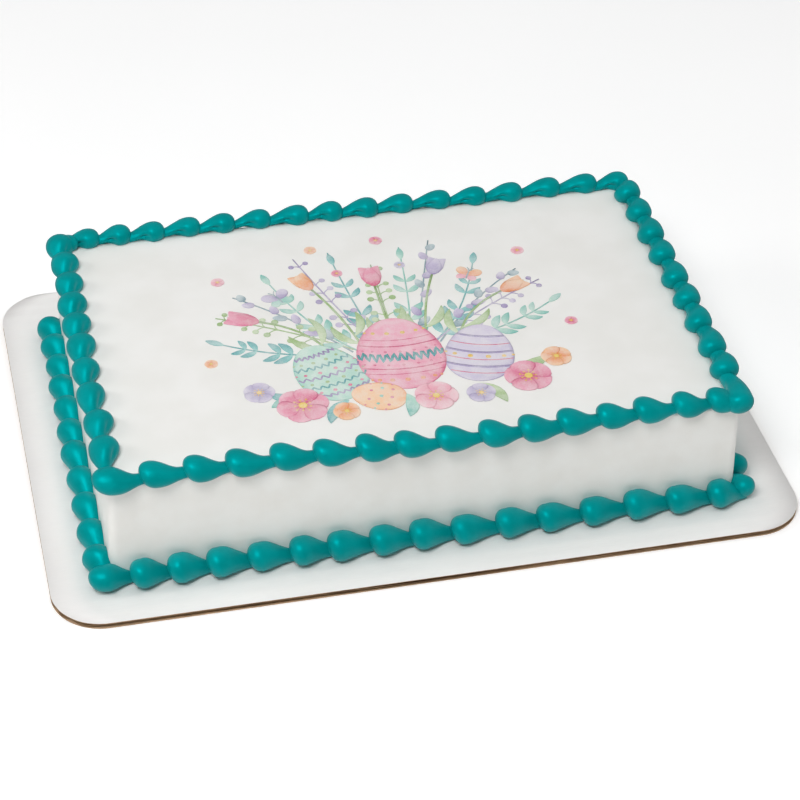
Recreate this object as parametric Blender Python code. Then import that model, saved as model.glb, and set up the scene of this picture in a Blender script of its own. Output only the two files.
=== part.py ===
"""A quarter-sheet Easter cake on its corrugated board, as one closed solid for each sub-part.

The origin is at the middle of the board's underside: X runs along the front, Y to the back, Z up.
Lengths are in metres. Run it with: blender --background --python part.py
"""
import math
from collections import namedtuple

import bmesh
import bpy
import numpy as np

MM = 0.001

# Driving dimensions
GAP = 0.3 * MM
BOARD_LENGTH = 355.6 * MM
BOARD_DEPTH = 254.0 * MM
BOARD_THICKNESS = 3.0 * MM
BOARD_CORNER_RADIUS = 24.0 * MM
BOARD_CORNER_STEPS = 8
CAKE_LENGTH = 294.4 * MM
CAKE_DEPTH = 188.0 * MM
CAKE_HEIGHT = 54.5 * MM
CAKE_CENTRE_X = -0.75 * MM
CAKE_CENTRE_Y = -4.15 * MM
CAKE_CORNER_RADIUS = 5.0 * MM
CAKE_CORNER_STEPS = 5
CAKE_EDGE_RADIUS = 1.5 * MM
CAKE_EDGE_STEPS = 3
SHEET_THICKNESS = 0.5 * MM
SHEET_INSET = 1.5 * MM
CRISP_ANGLE = 40.0
SOFT_ANGLE = 60.0

# The piped drops: a round head, then a tail that thins to a neck. The head's back is sunk a
# little into the tail before it.
HEAD_LENGTH = 5.6 * MM
HEAD_SUNK = 0.55 * MM
RING_SHARES = (0.0, 0.06, 0.17, 0.34, 0.53, 0.73)
SPACING_JITTER = 1.0 * MM
SIZE_JITTER = 0.04
NECK_JITTER = 0.12
SIDE_JITTER = 0.35 * MM
FACET_GROWTH = 1.03

# The border on the top edge: drops that sit astride the edge of the cake
TOP_LINE_INSET = 0.2 * MM
TOP_LINE_HEIGHT = 57.4 * MM
TOP_HALF_WIDTH = 6.8 * MM
TOP_HALF_HEIGHT = 6.1 * MM
TOP_NECK = 0.41
TOP_SAG = 0.9 * MM
TOP_LEAN = 0.75 * MM
TOP_PRESS = 0.62
TOP_ARC_POINTS = 8

# The border at the foot: drops that lie on the board against the side of the cake
FOOT_LINE_OFFSET = 7.9 * MM
FOOT_LINE_HEIGHT = 7.6 * MM
FOOT_RADIUS = 7.2 * MM
FOOT_NECK = 0.54
FOOT_SAG = 2.0 * MM
FOOT_ARC_POINTS = 8

# Each run goes round the cake anticlockwise, as seen from above. Lengths are measured along its
# line, in millimetres, from the corner where it starts: the middle of the first, second and last
# head, how far the spacing opens towards the end, the hand's shift to the outside, the width of
# its wander to either side, the seed of its small differences, how far short of the next corner
# its last tail stops, and how plump its drops are. The tail stops short by half a head, as the next
# run starts on the corner with one, but a little more where the back run ends behind the left one.
Run = namedtuple("Run", "drops first second last opening shift wander seed short plump")
TOP_RUNS = {
    "front": Run(16, -1.4, 20.2, 284.6, -0.041, 0.0, 1.4, 4253, 7.6, 1.0),
    "right": Run(10, 1.7, 22.9, 175.5, 0.017, -0.3, 0.3, 2310, 7.6, 1.0),
    "back": Run(16, 2.6, 19.3, 280.0, -0.077, 0.0, 0.4, 69, 7.6, 0.86),
    "left": Run(10, 3.1, 20.7, 165.4, 0.123, -0.3, 0.3, 1490, 7.6, 1.0),
}
FOOT_RUNS = {
    "front": Run(16, 2.8, 20.1, 295.5, 0.104, -0.2, 0.3, 541, 8.0, 1.0),
    "right": Run(11, 4.0, 20.5, 187.0, 0.0, -0.8, 0.2, 22, 8.0, 1.0),
    "back": Run(16, 1.0, 19.5, 287.0, 0.0, 0.0, 0.3, 23, 9.2, 1.0),
    "left": Run(11, 12.4, 27.9, 190.1, 0.104, -0.5, 0.2, 5712, 8.0, 1.0),
}
WANDER_TURNS = 1.3
SHORTEST_DROP = 16.5 * MM
SMALLEST_STEP = 0.5 * MM
NOTCH_STEP = 0.05 * MM

CAKE_TOP = BOARD_THICKNESS + CAKE_HEIGHT
SHEET_BOTTOM = CAKE_TOP - SHEET_THICKNESS


def clear_scene():
    """Removes every object of the file that the script runs in."""
    for old in list(bpy.data.objects):
        bpy.data.objects.remove(old, do_unlink=True)


def icing_material(name, colour, roughness):
    """A plain food or paper finish: base colour and roughness, not metallic."""
    material = bpy.data.materials.new(name)
    material.use_nodes = True
    shader = material.node_tree.nodes["Principled BSDF"]
    shader.inputs["Base Color"].default_value = (*colour, 1.0)
    shader.inputs["Roughness"].default_value = roughness
    shader.inputs["Metallic"].default_value = 0.0
    material.diffuse_color = (*colour, 1.0)
    return material


def add_solid(name, rings, material, sharp_angle):
    """Joins closed rings of points, each as long as the next, into one closed body with two caps."""
    mesh = bpy.data.meshes.new(name)
    body = bmesh.new()
    loops = [[body.verts.new(point) for point in ring] for ring in rings]
    for lower, upper in zip(loops, loops[1:]):
        for i in range(len(lower)):
            j = (i + 1) % len(lower)
            body.faces.new((lower[i], lower[j], upper[j], upper[i]))
    body.faces.new(loops[0][::-1])
    body.faces.new(loops[-1])
    bmesh.ops.recalc_face_normals(body, faces=body.faces)
    body.to_mesh(mesh)
    body.free()
    mesh.shade_smooth()
    mesh.set_sharp_from_angle(angle=math.radians(sharp_angle))
    mesh.materials.append(material)
    solid = bpy.data.objects.new(name, mesh)
    bpy.context.scene.collection.objects.link(solid)
    return solid


def rounded_rectangle(length, depth, radius, steps, centre, height):
    """The points of a rectangle with round corners, anticlockwise, at one height."""
    points = []
    for corner, (side_x, side_y) in enumerate(((1, -1), (1, 1), (-1, 1), (-1, -1))):
        middle_x = centre[0] + side_x * (length / 2 - radius)
        middle_y = centre[1] + side_y * (depth / 2 - radius)
        for step in range(steps + 1):
            turn = math.radians(90.0) * (corner - 1 + step / steps)
            points.append((middle_x + radius * math.cos(turn), middle_y + radius * math.sin(turn), height))
    return points


def cake_board():
    """The board: a rounded slab as thick as one layer of corrugated card."""
    paper = icing_material("white_board_paper", (0.80, 0.80, 0.78), 0.6)
    rings = [
        rounded_rectangle(BOARD_LENGTH, BOARD_DEPTH, BOARD_CORNER_RADIUS, BOARD_CORNER_STEPS,
                          (0.0, 0.0), height)
        for height in (0.0, BOARD_THICKNESS)
    ]
    return add_solid("cake_board", rings, paper, CRISP_ANGLE)


def iced_cake():
    """The iced cake: an uncut block with upright round corners and a softly rounded top edge."""
    icing = icing_material("white_icing", (0.80, 0.79, 0.76), 0.45)
    top = SHEET_BOTTOM - GAP
    centre = (CAKE_CENTRE_X, CAKE_CENTRE_Y)
    profile = [(0.0, BOARD_THICKNESS + GAP)]
    for step in range(CAKE_EDGE_STEPS + 1):
        turn = math.radians(90.0) * step / CAKE_EDGE_STEPS
        inset = CAKE_EDGE_RADIUS * (1.0 - math.cos(turn))
        profile.append((inset, top - CAKE_EDGE_RADIUS * (1.0 - math.sin(turn))))
    rings = [
        rounded_rectangle(CAKE_LENGTH - 2 * inset, CAKE_DEPTH - 2 * inset, CAKE_CORNER_RADIUS - inset,
                          CAKE_CORNER_STEPS, centre, height)
        for inset, height in profile
    ]
    return add_solid("iced_cake", rings, icing, CRISP_ANGLE)


def printed_icing_sheet():
    """The thin sheet of printed sugar icing on the top, whose edge lies under the top border."""
    sugar = icing_material("printed_icing", (0.81, 0.80, 0.78), 0.5)
    length = CAKE_LENGTH - 2 * SHEET_INSET
    depth = CAKE_DEPTH - 2 * SHEET_INSET
    rings = [
        rounded_rectangle(length, depth, CAKE_CORNER_RADIUS - SHEET_INSET, CAKE_CORNER_STEPS,
                          (CAKE_CENTRE_X, CAKE_CENTRE_Y), height)
        for height in (SHEET_BOTTOM, CAKE_TOP)
    ]
    return add_solid("printed_icing_sheet", rings, sugar, CRISP_ANGLE)


def head_places(run, draw):
    """The middles of the heads: one on the corner, the others spaced by a rule with a small draw."""
    share = np.arange(run.drops - 1) / (run.drops - 2)
    rest = run.second + (run.last - run.second) * (share + run.opening * share * (share - 1.0))
    rest = rest * MM + draw.uniform(-SPACING_JITTER, SPACING_JITTER, run.drops - 1)
    return np.concatenate(([run.first * MM], rest))


def drop_swell(distance, length, neck):
    """How wide a drop is, as a share of its head: a quarter ellipse up, a half cosine down."""
    if distance < HEAD_LENGTH:
        reach = (distance + HEAD_SUNK) / (HEAD_LENGTH + HEAD_SUNK)
        return max(math.sqrt(1.0 - (1.0 - reach) ** 2), neck)
    reach = min((distance - HEAD_LENGTH) / (length - HEAD_LENGTH), 1.0)
    return neck + (1.0 - neck) * (0.5 + 0.5 * math.cos(math.pi * reach))


def edge_section(swell, neck, size, side, on_cake):
    """A ring of the top border: an ellipse over the edge, with the cake's own corner notched out.

    The thinner it is, the more it leans out and sags, and it is always pressed into the cake.
    """
    thinness = (1.0 - swell) / (1.0 - neck)
    middle_out = side - TOP_LINE_INSET + TOP_LEAN * thinness
    half_width = FACET_GROWTH * size * swell * TOP_HALF_WIDTH
    half_height = FACET_GROWTH * size * swell * TOP_HALF_HEIGHT
    top = CAKE_TOP + GAP
    middle_up = BOARD_THICKNESS + TOP_LINE_HEIGHT - TOP_SAG * thinness
    middle_up = min(middle_up, top + TOP_PRESS * half_height)
    inner_turn = math.pi - math.asin((top - middle_up) / half_height)
    outer_turn = -math.acos((GAP - middle_out) / half_width)
    turns = np.linspace(inner_turn, outer_turn, TOP_ARC_POINTS)
    ring = [(middle_out + half_width * math.cos(turn), middle_up + half_height * math.sin(turn))
            for turn in turns]
    if on_cake:
        ring.append((GAP, top))
    else:
        below = 0.5 * (outer_turn + inner_turn - 2 * math.pi)
        ring.append((middle_out + half_width * math.cos(below), middle_up + half_height * math.sin(below)))
    return ring


def foot_section(swell, neck, size, side, on_cake):
    """A ring of the foot border: a circle that is flat where it meets the board and the cake."""
    middle_out = FOOT_LINE_OFFSET + side
    middle_up = FOOT_LINE_HEIGHT - FOOT_SAG * (1.0 - swell) / (1.0 - neck)
    radius = FACET_GROWTH * size * swell * FOOT_RADIUS
    ring = []
    for step in range(FOOT_ARC_POINTS):
        turn = 2 * math.pi * (step + 0.5) / FOOT_ARC_POINTS
        out = middle_out + radius * math.cos(turn)
        up = middle_up + radius * math.sin(turn)
        ring.append((max(out, GAP) if on_cake else out, BOARD_THICKNESS + max(up, GAP)))
    return ring


def drop_steps(start, stop, length, is_first, is_last, cake_start):
    """Where one drop has rings, from its start; a first drop has a pair where it meets the cake."""
    steps = [share * length for share in RING_SHARES if start + share * length < stop - SMALLEST_STEP]
    if is_first:
        before = [step for step in steps if start + step < cake_start - SMALLEST_STEP]
        after = [step for step in steps if start + step > cake_start]
        meeting = cake_start - start
        steps = before + [meeting - NOTCH_STEP, meeting] + after
    if is_last:
        steps.append(stop - start)
    return steps


def run_rings(run, line_length, neck_share, section, cake_start):
    """The rings of one run, as (along, out, up), for all its drops from the first to the last."""
    draw = np.random.default_rng(run.seed)
    starts = head_places(run, draw) - HEAD_LENGTH
    sizes = run.plump * (1.0 + draw.uniform(-SIZE_JITTER, SIZE_JITTER, run.drops))
    necks = neck_share * (1.0 + draw.uniform(-NECK_JITTER, NECK_JITTER, run.drops))
    sides = run.shift * MM + draw.uniform(-SIDE_JITTER, SIDE_JITTER, run.drops)
    stops = np.append(starts[1:], line_length - run.short * MM)
    sizes[0] = run.plump
    rings = []
    for i in range(run.drops):
        length = max(stops[i] - starts[i], SHORTEST_DROP)
        for step in drop_steps(starts[i], stops[i], length, i == 0, i == run.drops - 1, cake_start):
            follows = step == 0.0 and i > 0
            swell = necks[i - 1] if follows else drop_swell(step, length, necks[i])
            size = sizes[i - 1] if follows else sizes[i]
            along = starts[i] + step
            side = sides[i] - run.wander * MM * math.sin(2 * math.pi * WANDER_TURNS * along / line_length)
            ring = section(swell, neck_share, size, side, along >= cake_start)
            rings.append([(along, out, up) for out, up in ring])
    return rings


def place_ring(ring, side_name, line_offset):
    """Turns (along the line, out from the wall, up) into X, Y and Z."""
    half_length = CAKE_LENGTH / 2
    half_depth = CAKE_DEPTH / 2
    frames = {
        "front": ((-half_length, -half_depth), (1, 0), (0, -1)),
        "right": ((half_length, -half_depth), (0, 1), (1, 0)),
        "back": ((half_length, half_depth), (-1, 0), (0, 1)),
        "left": ((-half_length, half_depth), (0, -1), (-1, 0)),
    }
    corner, ahead, outward = frames[side_name]
    placed = []
    for along, out, up in ring:
        reach = along - line_offset
        x = CAKE_CENTRE_X + corner[0] + reach * ahead[0] + out * outward[0]
        y = CAKE_CENTRE_Y + corner[1] + reach * ahead[1] + out * outward[1]
        placed.append((x, y, up))
    return placed


def border_runs(prefix, runs, line_offset, neck_share, section, material):
    """The four runs of one border, one for each side of the cake."""
    for side_name, run in runs.items():
        wall = CAKE_LENGTH if side_name in ("front", "back") else CAKE_DEPTH
        rings = run_rings(run, wall + 2 * line_offset, neck_share, section, line_offset - GAP)
        placed = [place_ring(ring, side_name, line_offset) for ring in rings]
        add_solid(f"{prefix}_border_{side_name}", placed, material, SOFT_ANGLE)


def main():
    clear_scene()
    cake_board()
    iced_cake()
    printed_icing_sheet()
    teal = icing_material("teal_buttercream", (0.0, 0.26, 0.27), 0.38)
    border_runs("top", TOP_RUNS, -TOP_LINE_INSET, TOP_NECK, edge_section, teal)
    border_runs("bottom", FOOT_RUNS, FOOT_LINE_OFFSET, FOOT_NECK, foot_section, teal)


main()
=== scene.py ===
# %% [markdown]
# # An iced sheet cake on a corrugated board
#
# This lesson dresses a plain CAD model of an Easter sheet cake. The CAD model is a fixed frame: it
# says where the board, the cake and the two piped borders are. Every visible surface is then built
# finely around that frame, and given a finish that is worked out by nodes.
#
# Lengths are written in millimetres and multiplied by MM, because Blender counts in metres.

# %% Load the frame
import math
from collections import namedtuple

import bpy
import numpy as np
from mathutils import Matrix, Vector


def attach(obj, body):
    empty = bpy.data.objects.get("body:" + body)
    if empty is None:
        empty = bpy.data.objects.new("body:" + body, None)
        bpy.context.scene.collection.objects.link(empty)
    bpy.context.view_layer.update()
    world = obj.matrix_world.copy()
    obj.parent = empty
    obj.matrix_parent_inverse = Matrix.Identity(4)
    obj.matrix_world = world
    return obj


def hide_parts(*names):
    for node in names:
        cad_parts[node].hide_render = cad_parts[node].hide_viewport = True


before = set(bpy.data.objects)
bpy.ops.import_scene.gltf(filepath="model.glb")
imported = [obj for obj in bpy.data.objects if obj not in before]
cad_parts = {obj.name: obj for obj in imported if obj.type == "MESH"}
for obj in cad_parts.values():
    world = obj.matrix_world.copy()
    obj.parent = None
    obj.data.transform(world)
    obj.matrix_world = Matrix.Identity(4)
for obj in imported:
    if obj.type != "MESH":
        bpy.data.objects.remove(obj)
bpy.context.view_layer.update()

MM = 0.001
print("nodes:", sorted(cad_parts))

# %% [markdown]
# ## The camera
#
# The photograph was taken with a fairly long lens, from the left of the front and well above. A
# camera fitted to the straight edges of the board and the cake gives the numbers below, with its
# distance in metres and its lens in millimetres. It looks at the middle of the cake's foot and is
# rolled by a degree and a half, as a hand-held camera often is.

# %% Camera
CAKE_MIDDLE = (-0.75 * MM, -4.15 * MM)
BOARD_THICKNESS = 3.0 * MM
AZIMUTH = math.radians(-13.913)
ELEVATION = math.radians(38.794)
ROLL = math.radians(1.544)
DISTANCE = 1.179
LENS = 107.02
SENSOR_WIDTH = 36.0
LENS_SHIFT = (0.0201, 0.0132)

aim = Vector((*CAKE_MIDDLE, BOARD_THICKNESS))
back = Vector((math.sin(AZIMUTH) * math.cos(ELEVATION), -math.cos(AZIMUTH) * math.cos(ELEVATION),
               math.sin(ELEVATION)))
level = Vector((math.cos(AZIMUTH), math.sin(AZIMUTH), 0.0))
upright = back.cross(level)
right = level * math.cos(ROLL) + upright * math.sin(ROLL)
above = upright * math.cos(ROLL) - level * math.sin(ROLL)
lens = bpy.data.cameras.new("photo_camera")
lens.lens = LENS
lens.sensor_width = SENSOR_WIDTH
lens.shift_x, lens.shift_y = LENS_SHIFT
camera = bpy.data.objects.new("photo_camera", lens)
turn = Matrix((right, above, back)).transposed().to_4x4()
camera.matrix_world = Matrix.Translation(aim + back * DISTANCE) @ turn
bpy.context.scene.collection.objects.link(camera)
bpy.context.scene.camera = camera
print("camera at", [round(v, 3) for v in camera.location])

# %% [markdown]
# ## Light
#
# Food is photographed in soft light, so that icing shows its form without hard glare. A white dome
# gives light from everywhere, and lamps on the left, above and on the right shape it. Only the key
# lamp, above the camera and a little to its left, may mirror in the icing: it puts one soft highlight
# near the middle of each drop. A second lamp in its place is seen in reflections alone, so that the
# highlight can be made stronger without lighting the cake more. The other lamps give plain light, as
# they would through a large diffuser. The view transform is Standard, because a filmic curve would
# grey the saturated teal.

# %% Dome and lamps
DOME_STRENGTH = 0.21
KEY_WAY = (-0.36, -0.46, 0.88)

scene = bpy.context.scene
scene.view_settings.view_transform = "Standard"
scene.view_settings.look = "None"
dome = bpy.data.worlds.new("studio_dome")
dome.use_nodes = True
sky = dome.node_tree.nodes["Background"]
sky.inputs["Color"].default_value = (1.0, 1.0, 1.0, 1.0)
sky.inputs["Strength"].default_value = DOME_STRENGTH
scene.world = dome


def soft_lamp(name, way, distance, size, power, lights=True, mirrors=False):
    """A square lamp at a distance from the cake in a direction, turned to face it."""
    lamp = bpy.data.lights.new(name, "AREA")
    lamp.shape = "SQUARE"
    lamp.size = size
    lamp.energy = power
    holder = bpy.data.objects.new(name, lamp)
    way = Vector(way).normalized()
    holder.location = aim + way * distance
    holder.rotation_euler = (-way).to_track_quat("-Z", "Y").to_euler()
    holder.visible_diffuse = lights
    holder.visible_glossy = mirrors
    scene.collection.objects.link(holder)


soft_lamp("left_lamp", (-0.84, 0.10, 0.52), distance=1.8, size=0.60, power=5.6)
soft_lamp("key_lamp", KEY_WAY, distance=1.5, size=0.50, power=9.2, mirrors=True)
soft_lamp("highlight_lamp", KEY_WAY, distance=1.5, size=0.70, power=12.5, lights=False, mirrors=True)
soft_lamp("top_lamp", (0.0, -0.1, 1.0), distance=2.0, size=1.8, power=9.4)
soft_lamp("right_reflector", (1.0, 0.25, 0.6), distance=2.0, size=2.4, power=11.0)

# %% [markdown]
# ## Surfaces from numpy
#
# Every new piece here is a surface: a grid of points worked out by a formula from two numbers, one
# along the piece and one across or around it. These helpers turn such grids into faces. The whole
# grid is computed as one array, so no loop visits single points.

# %% Grids into meshes
def grid_quads(rows, columns, around):
    """The four corner numbers of each face of a grid; around joins the last column to the first."""
    row = np.arange(rows - 1)[:, None]
    column = np.arange(columns if around else columns - 1)[None, :]
    beside = (column + 1) % columns
    corners = (row * columns + column, row * columns + beside,
               (row + 1) * columns + beside, (row + 1) * columns + column)
    return np.stack(corners, axis=-1).reshape(-1, 4)


NO_TRIANGLES = np.zeros((0, 3), dtype=int)


def closed_faces(rings, around):
    """Faces of stacked rings whose ends are closed by two poles, which come last in the points."""
    ring = np.arange(around)
    beside = np.roll(ring, -1)
    top = (rings - 1) * around
    first_pole = np.full(around, rings * around)
    first = np.stack((beside, ring, first_pole), axis=-1)
    last = np.stack((ring + top, beside + top, first_pole + 1), axis=-1)
    return grid_quads(rings, around, True), np.concatenate((first, last))


def new_mesh(name, points, quads, triangles, materials):
    """A smooth mesh object at the origin from points in metres and the corner numbers of its faces."""
    mesh = bpy.data.meshes.new(name)
    mesh.vertices.add(len(points))
    mesh.vertices.foreach_set("co", np.ascontiguousarray(points, dtype=np.float32).ravel())
    mesh.loops.add(quads.size + triangles.size)
    mesh.loops.foreach_set("vertex_index", np.concatenate((quads.ravel(), triangles.ravel())))
    starts = np.concatenate((4 * np.arange(len(quads)), quads.size + 3 * np.arange(len(triangles))))
    mesh.polygons.add(len(starts))
    mesh.polygons.foreach_set("loop_start", starts)
    mesh.update(calc_edges=True)
    mesh.validate()
    mesh.shade_smooth()
    for material in materials:
        mesh.materials.append(material)
    piece = bpy.data.objects.new(name, mesh)
    scene.collection.objects.link(piece)
    return piece


def thicken(piece, name, thickness):
    """Gives a sheet its thickness, downwards from its face."""
    wall = piece.modifiers.new(name, "SOLIDIFY")
    wall.thickness = thickness
    wall.offset = -1.0
    return wall


def keep_values(piece, name, kind, label, values):
    """Keeps a value at every point of a piece, for its finish to read by this name."""
    kept = piece.data.attributes.new(name, kind, "POINT")
    kept.data.foreach_set(label, np.concatenate(values).ravel())


def settle(piece, slot, *nodes):
    """Rides a finished piece on the cake's one body and hides the nodes it stands for; slot is not
    used.
    """
    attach(piece, "root")
    if nodes:
        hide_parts(*nodes)
    print(piece.name, "faces:", len(piece.data.polygons))
    return piece


# %% [markdown]
# ## Shared finishes
#
# Icing, sugar sheet and ink have the same fine grain, and all papers have the same fibres. Each such
# effect is a node group with named inputs, built once and placed in each material with its own
# values. A group gives out only a colour, a mask or a height. The shader stays in the material.

# %% Node helpers
def linear(red, green, blue):
    """A colour of 0 to 255 as it looks on the screen, turned into the light that Blender counts."""
    share = np.array((red, green, blue)) / 255.0
    light = np.where(share <= 0.04045, share / 12.92, ((share + 0.055) / 1.055) ** 2.4)
    return tuple(float(v) for v in light)


def feed(tree, value, socket):
    """Gives a socket a number or a colour, or links it to the socket that the value is."""
    if isinstance(value, bpy.types.NodeSocket):
        tree.links.new(value, socket)
    else:
        socket.default_value = (*value, 1.0) if isinstance(value, tuple) else value


def noise(tree, vector, scale, detail, roughness=0.5):
    """Smooth noise of 0 to 1 on a vector; its scale is a number or a socket."""
    node = tree.nodes.new("ShaderNodeTexNoise")
    values = {"Vector": vector, "Scale": scale, "Detail": detail, "Roughness": roughness}
    for label, value in values.items():
        feed(tree, value, node.inputs[label])
    return node.outputs["Fac"]


def spread(tree, value, low, high, to_low=0.0, to_high=1.0):
    """Stretches the values from low to high so that they run smoothly from to_low to to_high."""
    node = tree.nodes.new("ShaderNodeMapRange")
    node.interpolation_type = "SMOOTHSTEP"
    values = {"Value": value, "From Min": low, "From Max": high, "To Min": to_low, "To Max": to_high}
    for label, number in values.items():
        feed(tree, number, node.inputs[label])
    return node.outputs["Result"]


def blend_colour(tree, share, first, second):
    """Mixes two colours; each is a socket or a linear triple, and share a socket."""
    node = tree.nodes.new("ShaderNodeMix")
    node.data_type = "RGBA"
    tree.links.new(share, node.inputs["Factor"])
    for socket, colour in zip([s for s in node.inputs if s.type == "RGBA"], (first, second)):
        feed(tree, colour, socket)
    return next(s for s in node.outputs if s.type == "RGBA")


def arithmetic(tree, operation, first, second):
    """One step of arithmetic on sockets or numbers."""
    node = tree.nodes.new("ShaderNodeMath")
    node.operation = operation
    for socket, value in zip(node.inputs, (first, second)):
        feed(tree, value, socket)
    return node.outputs[0]


def add_share(tree, first, second, share):
    """The first value, plus a share of the second."""
    return arithmetic(tree, "ADD", first, arithmetic(tree, "MULTIPLY", second, share))


def stretched(tree, vector, scale):
    """A vector times a scale for each direction: the smaller it is, the longer a pattern gets there."""
    node = tree.nodes.new("ShaderNodeMapping")
    node.inputs["Scale"].default_value = scale
    tree.links.new(vector, node.inputs["Vector"])
    return node.outputs["Vector"]


def point_value(tree, name, output):
    """Reads the values that a mesh keeps at its points under a name."""
    node = tree.nodes.new("ShaderNodeAttribute")
    node.attribute_name = name
    return node.outputs[output]


# %% The two shared groups
def pattern_group(name, **numbers):
    """An empty group with a vector and named numbers coming in, and a height and a mask going out."""
    group = bpy.data.node_groups.new(name, "ShaderNodeTree")
    group.interface.new_socket("Vector", in_out="INPUT", socket_type="NodeSocketVector")
    for label, value in numbers.items():
        socket = group.interface.new_socket(label.replace("_", " "), in_out="INPUT",
                                            socket_type="NodeSocketFloat")
        socket.default_value = value
    for label in ("Height", "Mask"):
        group.interface.new_socket(label, in_out="OUTPUT", socket_type="NodeSocketFloat")
    return group, group.nodes.new("NodeGroupInput").outputs, group.nodes.new("NodeGroupOutput").inputs


def make_grain_group():
    """Fine icing grain: a soft lumpiness and a fine tooth, added as heights."""
    group, given, result = pattern_group("icing_grain", Lump_Scale=90.0, Tooth_Scale=1500.0,
                                         Tooth_Share=0.3)
    lumps = noise(group, given["Vector"], given["Lump Scale"], 3.0)
    tooth = noise(group, given["Vector"], given["Tooth Scale"], 2.0)
    group.links.new(add_share(group, lumps, tooth, given["Tooth Share"]), result["Height"])
    group.links.new(spread(group, lumps, 0.3, 0.7), result["Mask"])
    return group


def make_fibre_group():
    """Paper fibres: noise that is drawn out along X, with soft clouds in the mask."""
    group, given, result = pattern_group("paper_fibre", Fibre_Scale=900.0)
    drawn = stretched(group, given["Vector"], (0.12, 1.0, 1.0))
    fibres = noise(group, drawn, given["Fibre Scale"], 4.0, 0.65)
    clouds = noise(group, given["Vector"], 28.0, 3.0)
    both = add_share(group, arithmetic(group, "MULTIPLY", fibres, 0.6), clouds, 0.4)
    group.links.new(fibres, result["Height"])
    group.links.new(spread(group, both, 0.35, 0.65), result["Mask"])
    return group


icing_grain = make_grain_group()
paper_fibre = make_fibre_group()
print("groups:", [g.name for g in bpy.data.node_groups])


# %% Starting a finish
Finish = namedtuple("Finish", "material tree shader place height mask")


def new_finish(name, specular):
    """A material, its node tree and its shader, with the shader's own constants set on its sockets."""
    material = bpy.data.materials.new(name)
    material.use_nodes = True
    tree = material.node_tree
    shader = tree.nodes["Principled BSDF"]
    shader.inputs["Specular IOR Level"].default_value = specular
    return material, tree, shader


def object_vector(tree):
    return tree.nodes.new("ShaderNodeTexCoord").outputs["Object"]


def patterned(name, specular, roughness, group, **numbers):
    """A finish on a shared group: its roughness runs from the first value to the second by the mask."""
    material, tree, shader = new_finish(name, specular)
    place = object_vector(tree)
    pattern = tree.nodes.new("ShaderNodeGroup")
    pattern.node_tree = group
    tree.links.new(place, pattern.inputs["Vector"])
    for label, value in numbers.items():
        pattern.inputs[label.replace("_", " ")].default_value = value
    mask = pattern.outputs["Mask"]
    tree.links.new(spread(tree, mask, 0.0, 1.0, *roughness), shader.inputs["Roughness"])
    return Finish(material, tree, shader, place, pattern.outputs["Height"], mask)


def paint(finish, share, first, second):
    """Colours a finish between two colours, by a share of 0 to 1."""
    colour = blend_colour(finish.tree, share, first, second)
    finish.tree.links.new(colour, finish.shader.inputs["Base Color"])


def raise_bump(finish, height, distance):
    """Feeds a height into the shader's normal; distance is how tall a height of one is."""
    bump = finish.tree.nodes.new("ShaderNodeBump")
    bump.inputs["Strength"].default_value = 1.0
    bump.inputs["Distance"].default_value = distance
    finish.tree.links.new(height, bump.inputs["Height"])
    finish.tree.links.new(bump.outputs["Normal"], finish.shader.inputs["Normal"])


# %% [markdown]
# ## The board
#
# The board is one layer of corrugated card: a white paper face on top, a wavy medium in the middle
# and a brown paper face below. The waves run along the board's length. Along the front edge a
# single wave meets the cut, so the left half shows an open dark channel between two brown lines, and
# the right half shows the crushed side of the wave. The waves also print through the white face as a
# faint washboard. Three thin sheets with these waves show all of that from any side, which a plain
# slab with a drawn-on edge would not.

# %% Board sizes
BOARD_LENGTH = 355.6 * MM
BOARD_DEPTH = 254.0 * MM
BOARD_CORNER_RADIUS = 24.0 * MM
FLUTE_PITCH = 7.9 * MM
FACE_PAPER = 0.45 * MM
MEDIUM_PAPER = 0.28 * MM
WASHBOARD_DEPTH = 0.14 * MM
FLUTE_STEPS = 12
CORNER_ROWS = 16
WAVY_COLUMNS = 25
FLAT_COLUMNS = 9


def board_rows(step):
    """Places across the depth: even steps, and closer ones where the round corners turn."""
    even = np.arange(-BOARD_DEPTH / 2, BOARD_DEPTH / 2, step)
    turns = np.linspace(0.0, math.pi / 2, CORNER_ROWS)
    corner = BOARD_DEPTH / 2 - BOARD_CORNER_RADIUS * (1.0 - np.cos(turns))
    return np.unique(np.round(np.concatenate((even, corner, -corner)), 7))


def half_length_at(y):
    """Half the board's length at a depth: straight ends, then a quarter circle at each corner."""
    past = np.maximum(np.abs(y) - (BOARD_DEPTH / 2 - BOARD_CORNER_RADIUS), 0.0)
    past = np.minimum(past, BOARD_CORNER_RADIUS)
    return BOARD_LENGTH / 2 - BOARD_CORNER_RADIUS + np.sqrt(BOARD_CORNER_RADIUS ** 2 - past ** 2)


def flute_phase(x, y):
    """The turn of the wave at a place: one turn for each pitch in depth, drifting a little along X."""
    drift = 0.30 * np.tanh(x / (60.0 * MM)) + 0.03 * np.sin(x / (23.0 * MM))
    return 2.0 * math.pi * ((y + BOARD_DEPTH / 2) / FLUTE_PITCH + 0.62 + drift)


def board_sheet(name, height_of, columns, thickness, materials):
    """A sheet over the whole board whose height is a function of X and Y, thickened downwards."""
    y = board_rows(FLUTE_PITCH / FLUTE_STEPS)[:, None]
    across = np.linspace(-1.0, 1.0, columns)[None, :]
    x = across * half_length_at(y)
    y = np.broadcast_to(y, x.shape)
    points = np.stack((x, y, height_of(x, y)), axis=-1).reshape(-1, 3)
    piece = new_mesh(name, points, grid_quads(*x.shape, False), NO_TRIANGLES, materials)
    wall = thicken(piece, "paper", thickness)
    wall.material_offset = wall.material_offset_rim = len(materials) - 1
    return piece


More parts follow.
